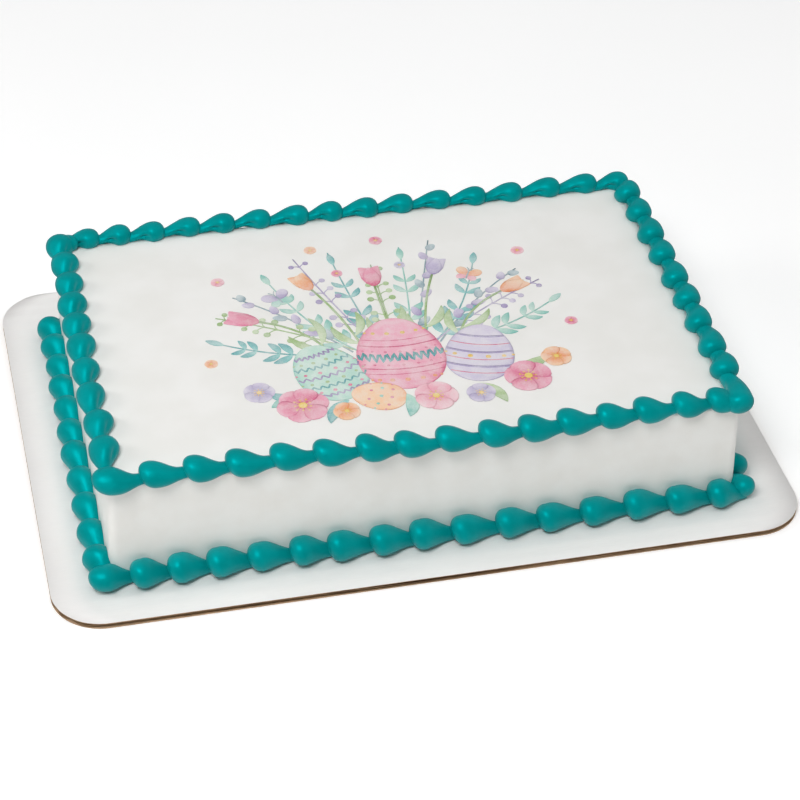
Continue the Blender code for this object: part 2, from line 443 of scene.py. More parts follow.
# %% Paper finishes
def white_face_finish():
    """Coated white paper: barely mottled, with a faint tooth."""
    paper = patterned("white_board_paper", 0.30, (0.52, 0.62), paper_fibre, Fibre_Scale=1300.0)
    paint(paper, paper.mask, linear(242, 240, 238), linear(245, 243, 241))
    raise_bump(paper, paper.height, 0.02 * MM)
    return paper.material


def kraft_finish(name, pale, deep):
    """Brown kraft paper: fibres from a pale to a deep brown, rough and matte."""
    paper = patterned(name, 0.2, (0.78, 0.92), paper_fibre, Fibre_Scale=800.0)
    paint(paper, paper.mask, pale, deep)
    raise_bump(paper, paper.height, 0.06 * MM)
    return paper.material


white_face = white_face_finish()
kraft_face = kraft_finish("kraft_face_paper", linear(196, 165, 132), linear(170, 140, 108))
kraft_medium = kraft_finish("kraft_medium_paper", linear(146, 118, 88), linear(110, 86, 62))

# %% The three papers
top_paper_thickness = FACE_PAPER - WASHBOARD_DEPTH
medium_low = FACE_PAPER + MEDIUM_PAPER
medium_high = BOARD_THICKNESS - top_paper_thickness
medium_middle = 0.5 * (medium_low + medium_high)
medium_swing = 0.5 * (medium_high - medium_low)


def top_face_height(x, y):
    """Flat where a wave's crest holds the paper up, and dipped a little between the crests."""
    return BOARD_THICKNESS - WASHBOARD_DEPTH * (0.5 - 0.5 * np.sin(flute_phase(x, y)))


def medium_height(x, y):
    """A sine wave between the two face papers."""
    return medium_middle + medium_swing * np.sin(flute_phase(x, y))


def bottom_face_height(x, y):
    return np.full_like(x, FACE_PAPER)


top_paper = board_sheet("board_top_paper", top_face_height, WAVY_COLUMNS, top_paper_thickness,
                        (white_face, kraft_face))
waves = board_sheet("board_waves", medium_height, WAVY_COLUMNS, MEDIUM_PAPER, (kraft_medium,))
bottom_paper = board_sheet("board_bottom_paper", bottom_face_height, FLAT_COLUMNS, FACE_PAPER,
                           (kraft_face,))
for paper in (top_paper, waves, bottom_paper):
    settle(paper, "board", "cake_board")

# %% [markdown]
# ## The iced block
#
# Under the icing is plain sponge, and the cake is whole, so what shows is one smooth coat of
# buttercream. A real coat is spread with a long knife: its walls are never quite flat, its upright
# corners are soft and its foot is a little wider. The skin below goes up the wall, over a small
# round edge and in to the middle of the top, and long low waves push its walls in and out.

# %% Block sizes
CAKE_LENGTH = 294.4 * MM
CAKE_DEPTH = 188.0 * MM
CAKE_HEIGHT = 54.5 * MM
CAKE_CORNER_RADIUS = 3.0 * MM
CAKE_EDGE_RADIUS = 1.5 * MM
SHEET_THICKNESS = 0.5 * MM
SHEET_INSET = 1.5 * MM
FOOT_SPREAD = 2.4 * MM
WALL_ROWS = 20
EDGE_ROWS = 6
LID_RINGS = 16
SHEET_RINGS = 26
COAT_WAVES = {"height": 0.22 * MM, "length": 70.0 * MM, "seed": 11}
SHEET_WAVES = {"height": 0.06 * MM, "length": 95.0 * MM, "seed": 23}
CAKE_TOP = BOARD_THICKNESS + CAKE_HEIGHT
ICING_TOP = CAKE_TOP - SHEET_THICKNESS


def rounded_outline(length, depth, radius, long_steps, short_steps, corner_steps):
    """Points (n, 2) round a rectangle with round corners, anticlockwise from the front left."""
    straight = ((-1, -1, long_steps), (1, -1, short_steps), (1, 1, long_steps), (-1, 1, short_steps))
    parts = []
    for side, (sign_x, sign_y, steps) in enumerate(straight):
        next_x, next_y = straight[(side + 1) % 4][:2]
        middle = np.array((sign_x * (length / 2 - radius), sign_y * (depth / 2 - radius)))
        ahead = np.array((next_x * (length / 2 - radius), next_y * (depth / 2 - radius)))
        turns = math.pi * (1.0 + side / 2) + np.linspace(0.0, math.pi / 2, corner_steps, endpoint=False)
        parts.append(middle + radius * np.stack((np.cos(turns), np.sin(turns)), axis=-1))
        turn = math.pi * (1.5 + side / 2)
        outward = radius * np.array((math.cos(turn), math.sin(turn)))
        share = np.linspace(0.0, 1.0, steps, endpoint=False)[:, None]
        parts.append((middle + outward) * (1.0 - share) + (ahead + outward) * share)
    return np.concatenate(parts)


def outline_normals(outline):
    """The direction out of an anticlockwise outline at each of its points."""
    ahead = np.roll(outline, -1, axis=0) - np.roll(outline, 1, axis=0)
    out = np.stack((ahead[:, 1], -ahead[:, 0]), axis=-1)
    return out / np.linalg.norm(out, axis=1, keepdims=True)


def hand_waves(x, y, z, height, length, seed):
    """A sum of eight long sine waves in drawn directions: the unevenness of a hand-spread coat."""
    draw = np.random.default_rng(seed)
    total = np.zeros(np.broadcast(x, y, z).shape)
    for _ in range(8):
        way = draw.normal(size=3)
        way = way / np.linalg.norm(way) * 2.0 * math.pi / (length * draw.uniform(0.6, 1.6))
        total = total + np.sin(way[0] * x + way[1] * y + way[2] * z + draw.uniform(0.0, 2.0 * math.pi))
    return height * total / 4.0


# %% White icing finish
def white_icing_finish():
    """Smooth buttercream: a hardly coloured white, satin, with fine grain and faint knife lines."""
    icing = patterned("white_icing", 0.25, (0.50, 0.60), icing_grain,
                      Lump_Scale=60.0, Tooth_Scale=1700.0, Tooth_Share=0.25)
    paint(icing, icing.mask, linear(240, 238, 233), linear(244, 243, 239))
    knife = noise(icing.tree, stretched(icing.tree, icing.place, (0.10, 0.10, 1.0)), 220.0, 3.0)
    raise_bump(icing, add_share(icing.tree, icing.height, knife, 0.8), 0.12 * MM)
    return icing.material


white_icing = white_icing_finish()

# %% The block
outline = rounded_outline(CAKE_LENGTH, CAKE_DEPTH, CAKE_CORNER_RADIUS, long_steps=96, short_steps=62,
                          corner_steps=8)
outward = outline_normals(outline)
wall_up = np.linspace(0.0, 1.0, WALL_ROWS)
wall_height = BOARD_THICKNESS + wall_up * (ICING_TOP - CAKE_EDGE_RADIUS - BOARD_THICKNESS)
wall_out = FOOT_SPREAD * (1.0 - wall_up)
edge_turn = np.linspace(0.0, math.pi / 2, EDGE_ROWS + 1)[1:]
edge_height = ICING_TOP - CAKE_EDGE_RADIUS * (1.0 - np.sin(edge_turn))
edge_out = -CAKE_EDGE_RADIUS * (1.0 - np.cos(edge_turn))
height = np.concatenate((wall_height, edge_height))[:, None]
out = np.concatenate((wall_out, edge_out))[:, None]
x = CAKE_MIDDLE[0] + outline[:, 0] + out * outward[:, 0]
y = CAKE_MIDDLE[1] + outline[:, 1] + out * outward[:, 1]
uneven = hand_waves(x, y, height, **COAT_WAVES)
x = x + uneven * outward[:, 0]
y = y + uneven * outward[:, 1]
walls = np.stack((x, y, np.broadcast_to(height, x.shape)), axis=-1)
inwards = np.linspace(1.0, 0.0, LID_RINGS, endpoint=False)[1:, None, None]
lid_middle = np.array((*CAKE_MIDDLE, ICING_TOP))
lid = lid_middle + (walls[-1] - lid_middle) * inwards
floor_middle = np.array((*CAKE_MIDDLE, BOARD_THICKNESS))
rings = np.concatenate((walls, lid))
points = np.concatenate((rings.reshape(-1, 3), [floor_middle, lid_middle]))
cake = new_mesh("white_iced_block", points, *closed_faces(*rings.shape[:2]), (white_icing,))
settle(cake, "white_icing", "iced_cake")

# %% [markdown]
# ## The printed sheet
#
# The top of the cake is a thin sheet of sugar icing with a picture in food colours. The sheet is cut
# a little smaller than the top, and its edge lies under the drops. It is built like the block: a low
# wall, then rings that close in to the middle, with waves so long and low that only the light shows
# them.

# %% The sheet
def sheet_height(x, y):
    """The height of the sheet's face: flat, but for waves of a few hundredths of a millimetre."""
    return CAKE_TOP + hand_waves(x, y, 0.0 * x, **SHEET_WAVES)


def sugar_finish():
    """Sugar icing sheet: a warm white, a little more matte than buttercream, with a fine tooth."""
    sugar = patterned("sugar_sheet", 0.25, (0.50, 0.60), icing_grain,
                      Lump_Scale=45.0, Tooth_Scale=2400.0, Tooth_Share=0.4)
    paint(sugar, sugar.mask, SUGAR_DEEP, SUGAR_PALE)
    raise_bump(sugar, sugar.height, 0.03 * MM)
    return sugar.material


SUGAR_PALE = linear(243, 242, 239)
SUGAR_DEEP = linear(239, 238, 234)
outline = rounded_outline(CAKE_LENGTH - 2 * SHEET_INSET, CAKE_DEPTH - 2 * SHEET_INSET,
                          CAKE_CORNER_RADIUS - SHEET_INSET, long_steps=60, short_steps=40,
                          corner_steps=6)
middle = np.array(CAKE_MIDDLE)
inwards = np.linspace(1.0, 0.0, SHEET_RINGS, endpoint=False)
inwards = np.insert(inwards, 0, 1.0)[:, None]
x = middle[0] + outline[:, 0] * inwards
y = middle[1] + outline[:, 1] * inwards
z = sheet_height(x, y)
z[0] = ICING_TOP
rings = np.stack((x, y, z), axis=-1)
under = (*CAKE_MIDDLE, ICING_TOP)
crown = (*CAKE_MIDDLE, float(sheet_height(middle[:1], middle[1:])[0]))
points = np.concatenate((rings.reshape(-1, 3), [under, crown]))
sheet = new_mesh("sugar_sheet", points, *closed_faces(*rings.shape[:2]), (sugar_finish(),))
settle(sheet, "printed_icing", "printed_icing_sheet")

# %% [markdown]
# ## The picture in food colours
#
# The print is a soft watercolour: each shape is a wash that runs from a pale to a deep ink, with a
# darker rim where the colour dried. The picture here is a plain spring ornament of painted eggs in
# a fan of leaves, tulips and catkins. A shape could be drawn by a mask in the shader, but dozens of
# overlapping shapes are far easier as thin films of their own: each is a small grid with a spine and
# a width, laid a hundredth of a millimetre above the one below, like real ink.

# %% Inks
Ink = namedtuple("Ink", "pale deep")
PINK = Ink(linear(240, 176, 196), linear(212, 66, 118))
ROSE = Ink(linear(244, 202, 210), linear(226, 124, 154))
MINT = Ink(linear(196, 226, 212), linear(98, 182, 172))
AQUA = Ink(linear(160, 212, 208), linear(58, 154, 160))
LILAC = Ink(linear(220, 212, 230), linear(150, 134, 182))
PEACH = Ink(linear(248, 208, 168), linear(230, 128, 66))
SAGE = Ink(linear(208, 224, 186), linear(136, 174, 96))
SLATE = Ink(linear(192, 208, 212), linear(120, 150, 162))
YOLK = Ink(linear(244, 222, 120), linear(226, 178, 44))
FILM_LIFT = 0.02 * MM
LAYER_STEP = 0.010 * MM
FILM_STEP = 0.0008 * MM
FILM_DEPTH = 0.2 * MM
FILM_STEPS = 9
LEAVES, BLOOMS, EGGS = "printed_leaves", "printed_blooms", "printed_eggs"
films = {LEAVES: [], BLOOMS: [], EGGS: []}


def lay_film(piece_name, places, wash, rim, ink, layer):
    """Keeps one shape: a grid of places in mm from the cake's middle, its wash and its rim, 0 to 1."""
    wash = np.clip(np.broadcast_to(wash, places.shape[:2]), 0.0, 1.0)[..., None]
    colour = np.array(ink.pale) * (1.0 - wash) + np.array(ink.deep) * wash
    lift = FILM_LIFT + layer * LAYER_STEP + (len(films[piece_name]) % FILM_STEPS) * FILM_STEP
    films[piece_name].append((places, colour, np.broadcast_to(rim, places.shape[:2]), lift))


# %% Shapes with a spine
def along_spine(spine, half, columns):
    """A grid of places: each point of the spine, pushed to both sides by half the width there."""
    ahead = np.gradient(spine, axis=0)
    ahead = ahead / np.linalg.norm(ahead, axis=1, keepdims=True)
    beside = np.stack((ahead[:, 1], -ahead[:, 0]), axis=-1)
    return spine[:, None, :] + beside[:, None, :] * (half[:, None] * columns[None, :])[..., None]


def bow(start, control, end, count=12):
    """A smooth path from start to end that is drawn towards control: a curve of the second degree."""
    share = np.linspace(0.0, 1.0, count)[:, None]
    start, control, end = (np.array(place, dtype=float) for place in (start, control, end))
    return (1 - share) ** 2 * start + 2 * share * (1 - share) * control + share ** 2 * end


RIM_COLUMNS = np.array((-1.0, -0.82, 0.0, 0.82, 1.0))
RIM_MASK = np.array((1.0, 0.15, 0.0, 0.15, 1.0))
STROKE_COLUMNS = np.array((-1.0, 0.0, 1.0))
STROKE_MASK = np.array((0.5, 0.0, 0.5))


def blade(piece_name, base, tip, width, ink, layer, bend=0.0, peak=1.0, blunt=0.8,
          wash=(0.1, 0.9), rows=9):
    """A leaf or petal: half its width is a power of a sine along its spine, widest where peak says.

    The rows are closer towards both ends, by half a cosine, so that blunt ends come out round.
    """
    share = 0.5 - 0.5 * np.cos(np.linspace(0.0, math.pi, rows))
    base, tip = np.array(base, dtype=float), np.array(tip, dtype=float)
    axis = tip - base
    spine = base + axis * share[:, None]
    spine += np.array((-axis[1], axis[0])) * (4.0 * bend * share * (1.0 - share))[:, None]
    half = 0.5 * width * (0.03 + 0.97 * np.clip(np.sin(math.pi * share ** peak), 0.0, 1.0) ** blunt)
    deepness = (wash[0] + (wash[1] - wash[0]) * share)[:, None] + 0.12 * RIM_COLUMNS[None, :]
    lay_film(piece_name, along_spine(spine, half, RIM_COLUMNS), deepness, RIM_MASK[None, :], ink, layer)


def stroke(piece_name, path, width, ink, layer, wash=(0.5, 0.8), taper=0.35):
    """A brush line along a path; it thins towards its end by the taper."""
    share = np.linspace(0.0, 1.0, len(path))
    half = 0.5 * width * (1.0 - taper * share)
    deepness = (wash[0] + (wash[1] - wash[0]) * share)[:, None]
    places = along_spine(path, half, STROKE_COLUMNS)
    lay_film(piece_name, places, deepness, STROKE_MASK[None, :], ink, layer)


def round_spot(piece_name, centre, radius, ink, layer, wash=0.6, rows=7):
    """A dot of ink: a spine across it, with the half width of a circle."""
    turns = np.linspace(0.0, math.pi, rows)
    spine = np.array(centre, dtype=float) + radius * np.stack((0.0 * turns, -np.cos(turns)), axis=-1)
    half = radius * np.maximum(np.sin(turns), 0.03)
    lay_film(piece_name, along_spine(spine, half, RIM_COLUMNS), wash, RIM_MASK[None, :], ink, layer)


def heading(path, share):
    """The place and the unit direction of a path at a share of its length."""
    index = min(int(share * (len(path) - 1)), len(path) - 2)
    ahead = path[index + 1] - path[index]
    return path[index], ahead / np.linalg.norm(ahead)


def turned(direction, degrees):
    """A direction turned anticlockwise."""
    angle = math.radians(degrees)
    return np.array((direction[0] * math.cos(angle) - direction[1] * math.sin(angle),
                     direction[0] * math.sin(angle) + direction[1] * math.cos(angle)))


def compass(degrees):
    """The unit direction at an angle anticlockwise from the right."""
    return turned((1.0, 0.0), degrees)


# %% Sprigs, catkins and berries
def leaf_sprig(start, control, end, ink, layer, pairs=5, leaf=12.0, width=4.6):
    """A stem with leaves in pairs that get shorter towards a last leaf at its tip."""
    path = bow(start, control, end)
    stroke(LEAVES, path, 0.9, ink, layer)
    for k in range(pairs):
        place, ahead = heading(path, 0.25 + 0.68 * k / pairs)
        size = leaf * (1.0 - 0.45 * k / pairs)
        for side in (1, -1):
            tip = place + turned(ahead, side * 44.0) * size
            blade(LEAVES, place, tip, width * size / leaf, ink, layer + 1, bend=0.10 * side)
    place, ahead = heading(path, 0.97)
    blade(LEAVES, place, place + ahead * leaf * 0.8, width * 0.8, ink, layer + 1)


def catkin_twig(start, control, end, layer, buds=7):
    """A willow twig: plump soft buds that sit close to the stem on alternate sides."""
    path = bow(start, control, end)
    stroke(LEAVES, path, 0.9, SLATE, layer, wash=(0.7, 1.0))
    for k in range(buds):
        place, ahead = heading(path, 0.22 + 0.72 * k / (buds - 1))
        tip = place + turned(ahead, 32.0 * (1 if k % 2 else -1)) * (8.6 - 0.45 * k)
        ink = LILAC if k % 3 else SLATE
        blade(BLOOMS, place, tip, 4.4, ink, layer + 2, peak=0.8, blunt=0.55, wash=(0.95, 0.05))


def berry_sprig(start, control, end, ink, layer, berries=6):
    """A stem with round berries on short stalks to both sides."""
    path = bow(start, control, end)
    stroke(LEAVES, path, 0.8, ink, layer)
    for k in range(berries):
        place, ahead = heading(path, 0.30 + 0.62 * k / (berries - 1))
        for side in (1, -1):
            tip = place + turned(ahead, side * 52.0) * (8.0 - 0.6 * k)
            stroke(LEAVES, bow(place, place + ahead * 3.0, tip, 5), 0.5, ink, layer)
            round_spot(LEAVES, tip, 1.9 - 0.1 * k, ink, layer + 1, wash=0.35 + 0.25 * (k % 3))


# %% Blooms
def tulip(start, control, end, ink, layer, size=15.0):
    """A tulip on its stem: two outer petals that lean apart, one in front, and two long leaves."""
    path = bow(start, control, end)
    stroke(LEAVES, path, 1.2, SAGE, layer, wash=(0.6, 0.9), taper=0.1)
    place, ahead = path[-1], heading(path, 1.0)[1]
    for side in (1, -1):
        leaf_base, leaf_way = heading(path, 0.30 if side > 0 else 0.42)
        leaf_tip = leaf_base + turned(leaf_way, side * 24.0) * size * 1.3
        blade(LEAVES, leaf_base, leaf_tip, 4.4, SAGE, layer + 1, bend=0.14 * side, rows=11)
        tip = place + turned(ahead, side * 17.0) * size
        blade(BLOOMS, place, tip, size * 0.56, ink, layer + 2, bend=-0.12 * side, peak=0.85,
              wash=(0.85, 0.25))
    blade(BLOOMS, place, place + ahead * size * 0.93, size * 0.52, ink, layer + 3, peak=0.8,
          wash=(0.95, 0.10))


def round_bloom(centre, radius, petals, ink, layer, turn=0.0, blunt=0.55):
    """A flower seen from above: round petals on a circle, a yellow eye and a ring of stamens."""
    centre = np.array(centre, dtype=float)
    for k in range(petals):
        way = compass(turn + 360.0 * k / petals)
        width = 2.0 * radius * math.sin(math.pi / petals) * 0.98
        blade(BLOOMS, centre + way * radius * 0.10, centre + way * radius, width, ink,
              layer + k % 2, peak=1.35, blunt=blunt, wash=(0.95, 0.12), rows=8)
    round_spot(BLOOMS, centre, radius * 0.17, YOLK, layer + 3, wash=0.5)
    for k in range(9):
        way = compass(turn + 40.0 * k + 11.0)
        reach = radius * (0.30 + 0.06 * (k % 2))
        stroke(BLOOMS, bow(centre, centre + way * reach * 0.5, centre + way * reach, 3), 0.35,
               YOLK, layer + 2, wash=(0.7, 1.0))
        round_spot(BLOOMS, centre + way * reach, radius * 0.045, YOLK, layer + 3, wash=0.9, rows=5)


def butterfly(centre, size, turn, ink, other, layer):
    """Two upper and two lower wings, a slim body and two feelers."""
    centre = np.array(centre, dtype=float)
    up = compass(90.0 + turn)
    for side in (1, -1):
        upper = centre + turned(up, side * 48.0) * size
        lower = centre + turned(up, side * 122.0) * size * 0.72
        blade(BLOOMS, centre, lower, size * 0.52, other, layer, peak=1.3, blunt=0.5, wash=(0.8, 0.2))
        blade(BLOOMS, centre, upper, size * 0.66, ink, layer + 1, peak=1.4, blunt=0.5, wash=(0.9, 0.15))
        feeler = centre + up * size * 0.35
        path = bow(feeler, feeler + up * size * 0.3, feeler + turned(up, side * 24.0) * size * 0.5, 6)
        stroke(BLOOMS, path, 0.35, SLATE, layer + 2, wash=(0.9, 1.0))
    blade(BLOOMS, centre - up * size * 0.42, centre + up * size * 0.42, size * 0.11, SLATE, layer + 3,
          wash=(0.9, 1.0))


# %% Painted eggs
Egg = namedtuple("Egg", "centre half_width half_height tilt")


def egg_width(v):
    """Half the egg's width, as a share, at a height v of -1 to 1: a circle drawn out at the top."""
    return np.sqrt(np.maximum(1.0 - v ** 2, 0.0009)) * (1.0 - 0.13 * v)


def on_egg(egg, u, v):
    """A place on an egg from u across and v up, each -1 to 1; level lines bow down in the middle."""
    across = egg.half_width * egg_width(v) * u
    up = egg.half_height * (v - 0.13 * (1.0 - u ** 2) * (1.0 - v ** 2))
    turn = math.radians(egg.tilt)
    return np.stack((egg.centre[0] + across * math.cos(turn) - up * math.sin(turn),
                     egg.centre[1] + across * math.sin(turn) + up * math.cos(turn)), axis=-1)


def egg_wash(egg, ink, layer):
    """The egg's own wash, deeper towards the lower right, as if it were round."""
    v = -np.cos(np.linspace(0.0, math.pi, 25))[:, None]
    u = np.array((-1.0, -0.94, -0.8, -0.5, -0.2, 0.1, 0.4, 0.7, 0.88, 0.96, 1.0))[None, :]
    rim = np.clip((np.abs(u) - 0.88) / 0.12, 0.0, 1.0)
    deepness = 0.10 + 0.34 * np.clip(0.5 * u - 0.5 * v, 0.0, 1.0) + 0.30 * rim
    lay_film(EGGS, on_egg(egg, u, v), deepness, rim, ink, layer)


def egg_line(egg, v, swing, beats, width, ink, layer):
    """A band across the egg that zigzags by the swing so many times; no beats is a plain line."""
    u = np.linspace(-0.97, 0.97, 61 if beats else 21)
    beat = 2.0 * np.abs((u * beats / 2.0) % 1.0 - 0.5) if beats else 0.0 * u
    stroke(EGGS, on_egg(egg, u, v + swing * beat), width, ink, layer, wash=(0.8, 0.95), taper=0.0)


def egg_dots(egg, v, count, radius, ink, layer):
    """A row of dots that get closer and smaller towards both sides, as on something round."""
    for k in range(count):
        turn = math.pi * (k + 0.5) / count - math.pi / 2
        place = on_egg(egg, np.array(math.sin(turn)), np.array(v))
        round_spot(EGGS, place, radius * (0.45 + 0.55 * math.cos(turn)), ink, layer, wash=0.7, rows=6)


# %% The picture: a fan of stems behind
for tip_x, tip_y, ink in ((-84.0, 0.0, AQUA), (-52.0, 50.0, MINT), (-16.0, 62.0, AQUA),
                          (20.0, 60.0, MINT), (56.0, 48.0, AQUA), (86.0, 4.0, MINT)):
    leaf_sprig((0.30 * tip_x, -22.0), (0.72 * tip_x, -16.0 + 0.30 * tip_y), (tip_x, tip_y), ink, 0)
for tip_x, tip_y in ((-69.0, 34.0), (36.0, 63.0), (73.0, 31.0)):
    catkin_twig((0.30 * tip_x, -20.0), (0.62 * tip_x, 4.0 + 0.25 * tip_y), (tip_x, tip_y), 0)
for tip_x, tip_y, ink in ((-80.0, 19.0, SAGE), (-34.0, 60.0, LILAC), (3.0, 48.0, SAGE),
                          (82.0, 20.0, LILAC)):
    berry_sprig((0.25 * tip_x, -18.0), (0.60 * tip_x, 0.2 * tip_y), (tip_x, tip_y), ink, 1)
for tip_x, tip_y, ink, size in ((-60.0, 12.0, PINK, 17.0), (-30.0, 33.0, PEACH, 15.0),
                                (1.0, 30.0, PINK, 17.0), (31.0, 34.0, LILAC, 15.0),
                                (61.0, 14.0, PEACH, 16.0)):
    tulip((0.45 * tip_x, -34.0), (0.55 * tip_x, 0.1 * tip_y), (tip_x, tip_y), ink, 3, size)

# %% The picture: eggs
middle_egg = Egg((1.0, -25.0), 21.0, 27.5, -3.0)
left_egg = Egg((-35.0, -33.0), 16.5, 22.0, 17.0)
right_egg = Egg((38.0, -32.0), 16.5, 22.0, -16.0)
low_egg = Egg((-16.0, -55.0), 10.0, 13.0, 68.0)
egg_wash(left_egg, MINT, 7)
egg_wash(right_egg, LILAC, 7)
egg_wash(middle_egg, PINK, 8)
egg_wash(low_egg, PEACH, 10)
for v, width in ((-0.34, 0.8), (0.30, 0.8), (-0.50, 0.5), (0.46, 0.5)):
    egg_line(middle_egg, v, 0.0, 0, width, PINK, 9)
egg_line(middle_egg, -0.14, 0.28, 12, 1.3, AQUA, 9)
egg_dots(middle_egg, -0.68, 7, 1.3, PEACH, 9)
egg_dots(middle_egg, 0.64, 6, 1.2, YOLK, 9)
egg_dots(middle_egg, 0.16, 9, 0.8, PINK, 10)
egg_dots(middle_egg, -0.22, 9, 0.8, PINK, 10)
for k in range(5):
    egg_line(left_egg, -0.72 + 0.34 * k, 0.12, 8, 0.9, AQUA if k % 2 else LILAC, 8)
for k in range(4):
    egg_dots(left_egg, -0.50 + 0.34 * k, 6, 1.0, SAGE if k % 2 else PINK, 8)
for k in range(6):
    egg_line(right_egg, -0.66 + 0.26 * k, 0.0, 0, 1.5 if k % 2 else 0.6, LILAC if k % 2 else PINK, 8)
egg_dots(right_egg, -0.02, 6, 1.3, YOLK, 9)
egg_dots(low_egg, -0.35, 5, 0.9, PINK, 11)
egg_dots(low_egg, 0.05, 5, 0.9, MINT, 11)
egg_dots(low_egg, 0.42, 4, 0.8, PINK, 11)

# %% The picture: leaves and blooms in front
for k, (x, y, way, ink) in enumerate((
        (-54.0, -48.0, 158.0, AQUA), (-56.0, -52.0, 190.0, MINT), (-48.0, -58.0, 214.0, SAGE),
        (-34.0, -60.0, 232.0, AQUA), (-4.0, -62.0, 262.0, MINT), (10.0, -62.0, 286.0, AQUA),
        (34.0, -60.0, 304.0, SAGE), (50.0, -56.0, 326.0, MINT), (58.0, -50.0, 348.0, AQUA),
        (57.0, -44.0, 18.0, SAGE))):
    way = compass(way)
    base = np.array((x, y)) - way * 6.0
    tip = base + way * (19.0 - k % 3 * 2.5)
    blade(LEAVES, base, tip, 6.4, ink, 11 + k % 2, bend=0.12 - 0.24 * (k % 2), rows=11)
for x, y, radius, petals, ink, turn in (
        (-52.0, -55.0, 12.5, 6, PINK, 10.0), (56.0, -54.0, 11.5, 5, PINK, 25.0),
        (10.0, -60.0, 10.5, 5, ROSE, -8.0), (-70.0, -42.0, 7.5, 5, LILAC, 0.0),
        (73.0, -42.0, 7.5, 5, PEACH, 30.0), (31.0, -62.0, 7.0, 5, LILAC, 12.0),
        (-33.0, -63.0, 6.5, 5, PEACH, 40.0)):
    round_bloom((x, y), radius, petals, ink, 13, turn)

# %% The picture: small things between
butterfly((-47.0, 28.0), 9.0, 24.0, LILAC, MINT, 5)
butterfly((48.0, 30.0), 8.0, -28.0, PEACH, ROSE, 5)
for x, y, radius, ink in ((-74.0, 48.0, 3.4, ROSE), (-24.0, 66.0, 3.2, PEACH), (10.0, 68.0, 3.4, PINK),
                          (78.0, 46.0, 3.4, ROSE), (-88.0, -16.0, 3.2, PEACH), (88.0, -16.0, 3.2, PINK),
                          (-15.0, 44.0, 2.8, PINK), (17.0, 45.0, 2.8, LILAC)):
    round_bloom((x, y), radius, 5, ink, 5, 7.0 * x)

# %% [markdown]
# The ink's finish takes its colour from the films' own attribute. Watercolour is uneven in two ways:
# broad blooms where water carried the colour off, and fine grains where pigment settled. Both thin
# the ink towards the white of the sugar, and the rim is where it dried darkest.

# %% Ink finish and the films' meshes
def ink_finish():
    """Food colour soaked into sugar: the film's colour, thinned by blooms and grains."""
    ink = patterned("food_ink", 0.25, (0.50, 0.60), icing_grain,
                    Lump_Scale=150.0, Tooth_Scale=2400.0, Tooth_Share=0.4)
    tree = ink.tree
    specks = spread(tree, noise(tree, ink.place, 1300.0, 2.0), 0.30, 0.70, 0.0, 0.16)
    strength = arithmetic(tree, "ADD", spread(tree, ink.mask, 0.0, 1.0, 0.52, 0.80), specks)
    strength = add_share(tree, strength, point_value(tree, "rim", "Fac"), 0.22)
    strength = arithmetic(tree, "MINIMUM", strength, 1.0)
    paint(ink, strength, SUGAR_PALE, point_value(tree, "ink", "Color"))
    raise_bump(ink, ink.height, 0.03 * MM)
    return ink.material


food_ink = ink_finish()
for piece_name, own_films in films.items():
    points, colours, rims, quads = [], [], [], []
    count = 0
    for places, colour, rim, lift in own_films:
        x = CAKE_MIDDLE[0] + places[..., 0] * MM
        y = CAKE_MIDDLE[1] + places[..., 1] * MM
        points.append(np.stack((x, y, sheet_height(x, y) + lift), axis=-1).reshape(-1, 3))
        colours.append(np.concatenate((colour, np.ones((*rim.shape, 1))), axis=-1).reshape(-1, 4))
        rims.append(rim.ravel())
        quads.append(grid_quads(*rim.shape, False) + count)
        count += rim.size
    film_piece = new_mesh(piece_name, np.concatenate(points), np.concatenate(quads)[:, ::-1],
                          NO_TRIANGLES, (food_ink,))
    keep_values(film_piece, "ink", "FLOAT_COLOR", "color", colours)
    keep_values(film_piece, "rim", "FLOAT", "value", rims)
    thicken(film_piece, "film", FILM_DEPTH)
    settle(film_piece, "printed_icing")
    print(piece_name, "films:", len(own_films))

# %% [markdown]
# ## The piped borders
#
# The borders are rows of drops from a plain round tip. The hand squeezes, so that a round head
# swells up, then eases off and pulls away along the line, so that the head runs out into a tail. The
# next head is squeezed onto the end of that tail. Each drop here is its own closed skin: rings along
# the line, each ring an ellipse whose size follows the swell. The tail goes on for a few millimetres
# under the next head, which leaves the sharp crease that real piping shows.
#
# The places of the heads are those of the CAD model: the same rule, numbers and seeds. Only a few
# first heads, at the corners, are moved by up to 3 mm, to where the hand began.

# %% The rule for the drops
HEAD_LENGTH = 5.6 * MM
HEAD_SUNK = 0.55 * MM
HEAD_BLUNTNESS = 2.3
SPACING_JITTER = 1.0 * MM
SIZE_JITTER = 0.04
NECK_JITTER = 0.12
SIDE_JITTER = 0.35 * MM
WANDER_TURNS = 1.3
SHORTEST_DROP = 16.5 * MM

Run = namedtuple("Run", "drops first second last opening shift wander seed short plump")
TOP_RUNS = {
    "front": Run(16, -1.4, 20.2, 284.6, -0.041, 0.0, 1.4, 4253, 7.6, 1.0),
    "right": Run(10, 1.7, 22.9, 175.5, 0.017, -0.3, 0.3, 2310, 7.6, 1.0),
    "back": Run(16, 2.6, 19.3, 280.0, -0.077, 0.0, 0.4, 69, 7.6, 0.86),
    "left": Run(10, 3.1, 20.7, 165.4, 0.123, -0.3, 0.3, 1490, 7.6, 1.0),
}
FOOT_RUNS = {
    "front": Run(16, 2.8, 20.1, 295.5, 0.104, -0.2, 0.3, 541, 8.0, 1.0),
    "right": Run(11, 4.0, 20.5, 187.0, 0.0, -0.8, 0.2, 22, 8.0, 1.0),
    "back": Run(16, 1.0, 19.5, 287.0, 0.0, 0.0, 0.3, 23, 9.2, 1.0),
    "left": Run(11, 12.4, 27.9, 190.1, 0.104, -0.5, 0.2, 5712, 8.0, 1.0),
}


